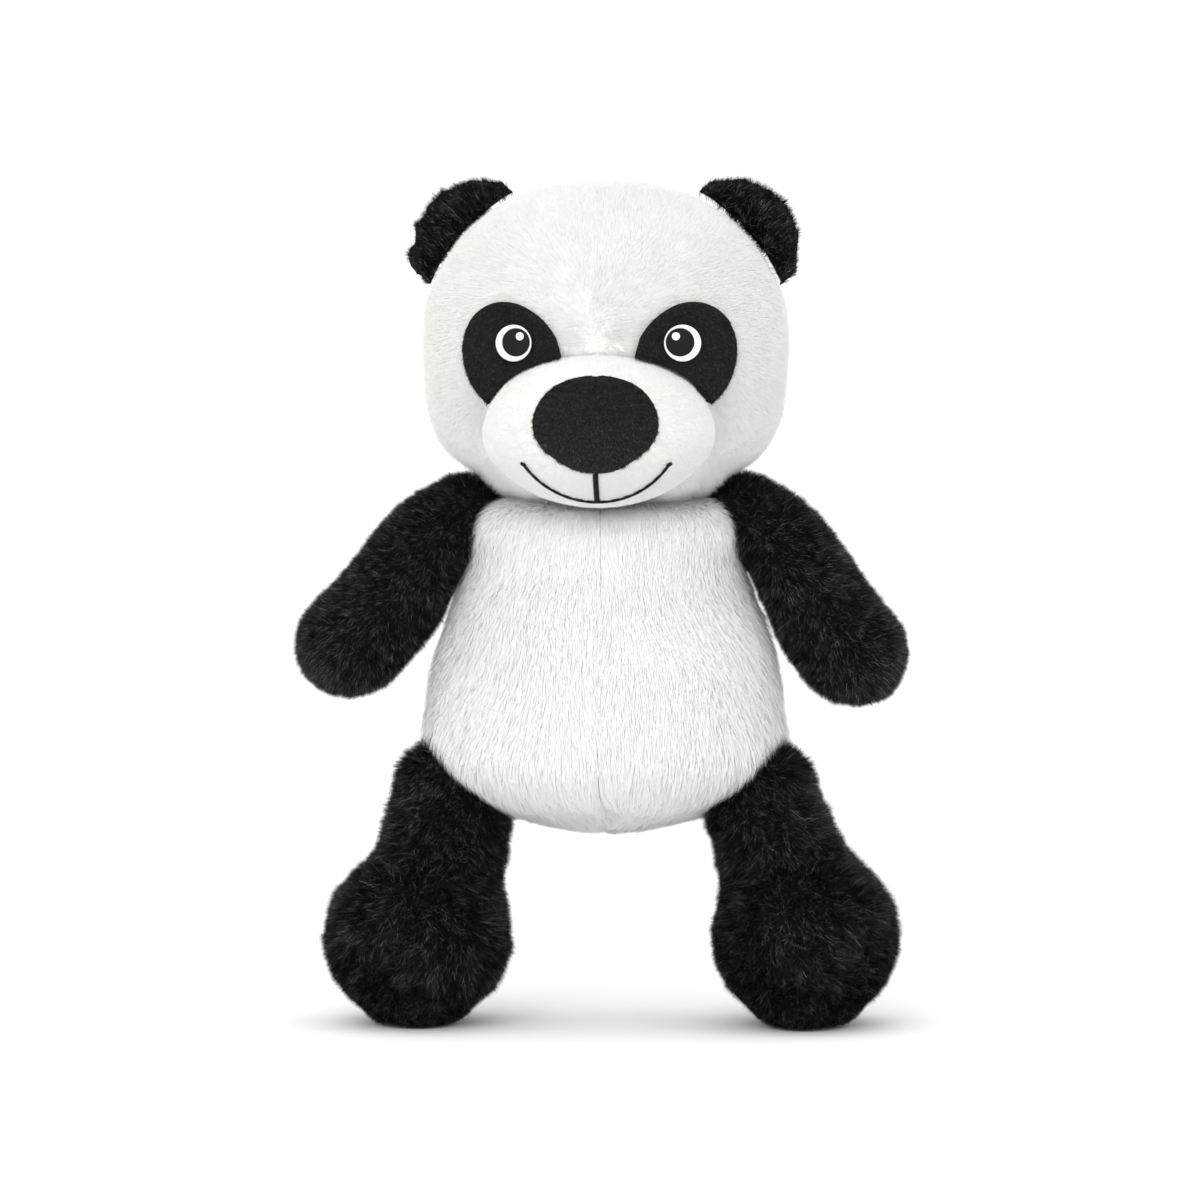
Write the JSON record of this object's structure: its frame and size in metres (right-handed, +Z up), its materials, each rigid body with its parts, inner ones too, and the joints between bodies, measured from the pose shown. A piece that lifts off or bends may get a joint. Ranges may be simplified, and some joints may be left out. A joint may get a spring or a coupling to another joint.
{
  "type": "plush panda",
  "caption": "Standing soft-toy panda with fur panels sewn over stuffing, a round muzzle, embroidered face, and arms, legs, ears and a head that move.",
  "frame": {"origin": "on the floor under the middle of the toy's box", "axes": "+Z up, -Y the way the panda faces, +X its own left side"},
  "size_m": [0.2222, 0.1386, 0.302],
  "materials": {
    "white_plush": "long white plush fur",
    "black_plush": "black plush fur",
    "white_velour": "short white velour",
    "black_velour": "short black velour",
    "white_thread": "white embroidery thread with a soft sheen",
    "black_thread": "black embroidery thread with a soft sheen",
    "filling": "polyester fibre filling, hidden",
    "sewing_thread": "sewing thread"
  },
  "bodies": {
    "torso": {"torso_front_left_panel": "white_plush", "torso_front_right_panel": "white_plush", "torso_back_left_panel": "white_plush", "torso_back_right_panel": "white_plush", "torso_stuffing": "filling", "back_closing_stitches": "sewing_thread"},
    "neck": {"neck_stuffing": "filling"},
    "head": {"head_front_panel": "white_plush", "head_back_left_panel": "white_plush", "head_back_right_panel": "white_plush", "head_stuffing": "filling", "muzzle_panel": "white_velour", "muzzle_stuffing": "filling", "nose_patch": "black_thread", "mouth_thread": "black_thread", "philtrum_thread": "black_thread", "left_eye_patch": "black_velour", "left_eye_ring": "white_thread", "left_pupil": "black_thread", "left_eye_glint": "white_thread", "right_eye_patch": "black_velour", "right_eye_ring": "white_thread", "right_pupil": "black_thread", "right_eye_glint": "white_thread"},
    "left_ear": {"left_ear_front_panel": "black_plush", "left_ear_back_panel": "black_plush"},
    "left_shoulder": {"left_arm_knot": "sewing_thread"},
    "left_arm": {"left_arm_front_panel": "black_plush", "left_arm_back_panel": "black_plush", "left_arm_stuffing": "filling"},
    "left_hip": {"left_leg_knot": "sewing_thread"},
    "left_leg": {"left_leg_inner_panel": "black_plush", "left_leg_outer_panel": "black_plush", "left_leg_stuffing": "filling"},
    "right_ear": {"right_ear_front_panel": "black_plush", "right_ear_back_panel": "black_plush"},
    "right_shoulder": {"right_arm_knot": "sewing_thread"},
    "right_arm": {"right_arm_front_panel": "black_plush", "right_arm_back_panel": "black_plush", "right_arm_stuffing": "filling"},
    "right_hip": {"right_leg_knot": "sewing_thread"},
    "right_leg": {"right_leg_inner_panel": "black_plush", "right_leg_outer_panel": "black_plush", "right_leg_stuffing": "filling"}
  },
  "joints": [
    {"name": "head_turn", "type": "hinge", "parent": "torso", "child": "neck", "pos_m": [0.00147, 0.0108, 0.188], "axis": [0, 0, 1], "range_deg": [-40, 40]},
    {"name": "head_nod", "type": "hinge", "parent": "neck", "child": "head", "pos_m": [0.00147, 0.0108, 0.188], "axis": [1, 0, 0], "range_deg": [-18, 4]},
    {"name": "left_ear_fold", "type": "hinge", "parent": "head", "child": "left_ear", "pos_m": [0.05441, 0.0108, 0.28436], "axis": [-0.6691, 0, 0.7431], "range_deg": [-25, 25]},
    {"name": "left_arm_swing", "type": "hinge", "parent": "torso", "child": "left_shoulder", "pos_m": [0.05147, 0.0108, 0.177], "axis": [1, 0, 0], "range_deg": [-90, 40]},
    {"name": "left_arm_raise", "type": "hinge", "parent": "left_shoulder", "child": "left_arm", "pos_m": [0.05147, 0.0108, 0.177], "axis": [0, -1, 0], "range_deg": [0, 60]},
    {"name": "left_leg_swing", "type": "hinge", "parent": "torso", "child": "left_hip", "pos_m": [0.05547, 0.0028, 0.081], "axis": [1, 0, 0], "range_deg": [-50, 30]},
    {"name": "left_leg_splay", "type": "hinge", "parent": "left_hip", "child": "left_leg", "pos_m": [0.05547, 0.0028, 0.081], "axis": [0, -1, 0], "range_deg": [-5, 30]},
    {"name": "right_ear_fold", "type": "hinge", "parent": "head", "child": "right_ear", "pos_m": [-0.05147, 0.0108, 0.28436], "axis": [0.6691, 0, 0.7431], "range_deg": [-25, 25]},
    {"name": "right_arm_swing", "type": "hinge", "parent": "torso", "child": "right_shoulder", "pos_m": [-0.04853, 0.0108, 0.177], "axis": [1, 0, 0], "range_deg": [-90, 40]},
    {"name": "right_arm_raise", "type": "hinge", "parent": "right_shoulder", "child": "right_arm", "pos_m": [-0.04853, 0.0108, 0.177], "axis": [0, 1, 0], "range_deg": [0, 60]},
    {"name": "right_leg_swing", "type": "hinge", "parent": "torso", "child": "right_hip", "pos_m": [-0.05253, 0.0028, 0.081], "axis": [1, 0, 0], "range_deg": [-50, 30]},
    {"name": "right_leg_splay", "type": "hinge", "parent": "right_hip", "child": "right_leg", "pos_m": [-0.05253, 0.0028, 0.081], "axis": [0, 1, 0], "range_deg": [-5, 30]}
  ]
}
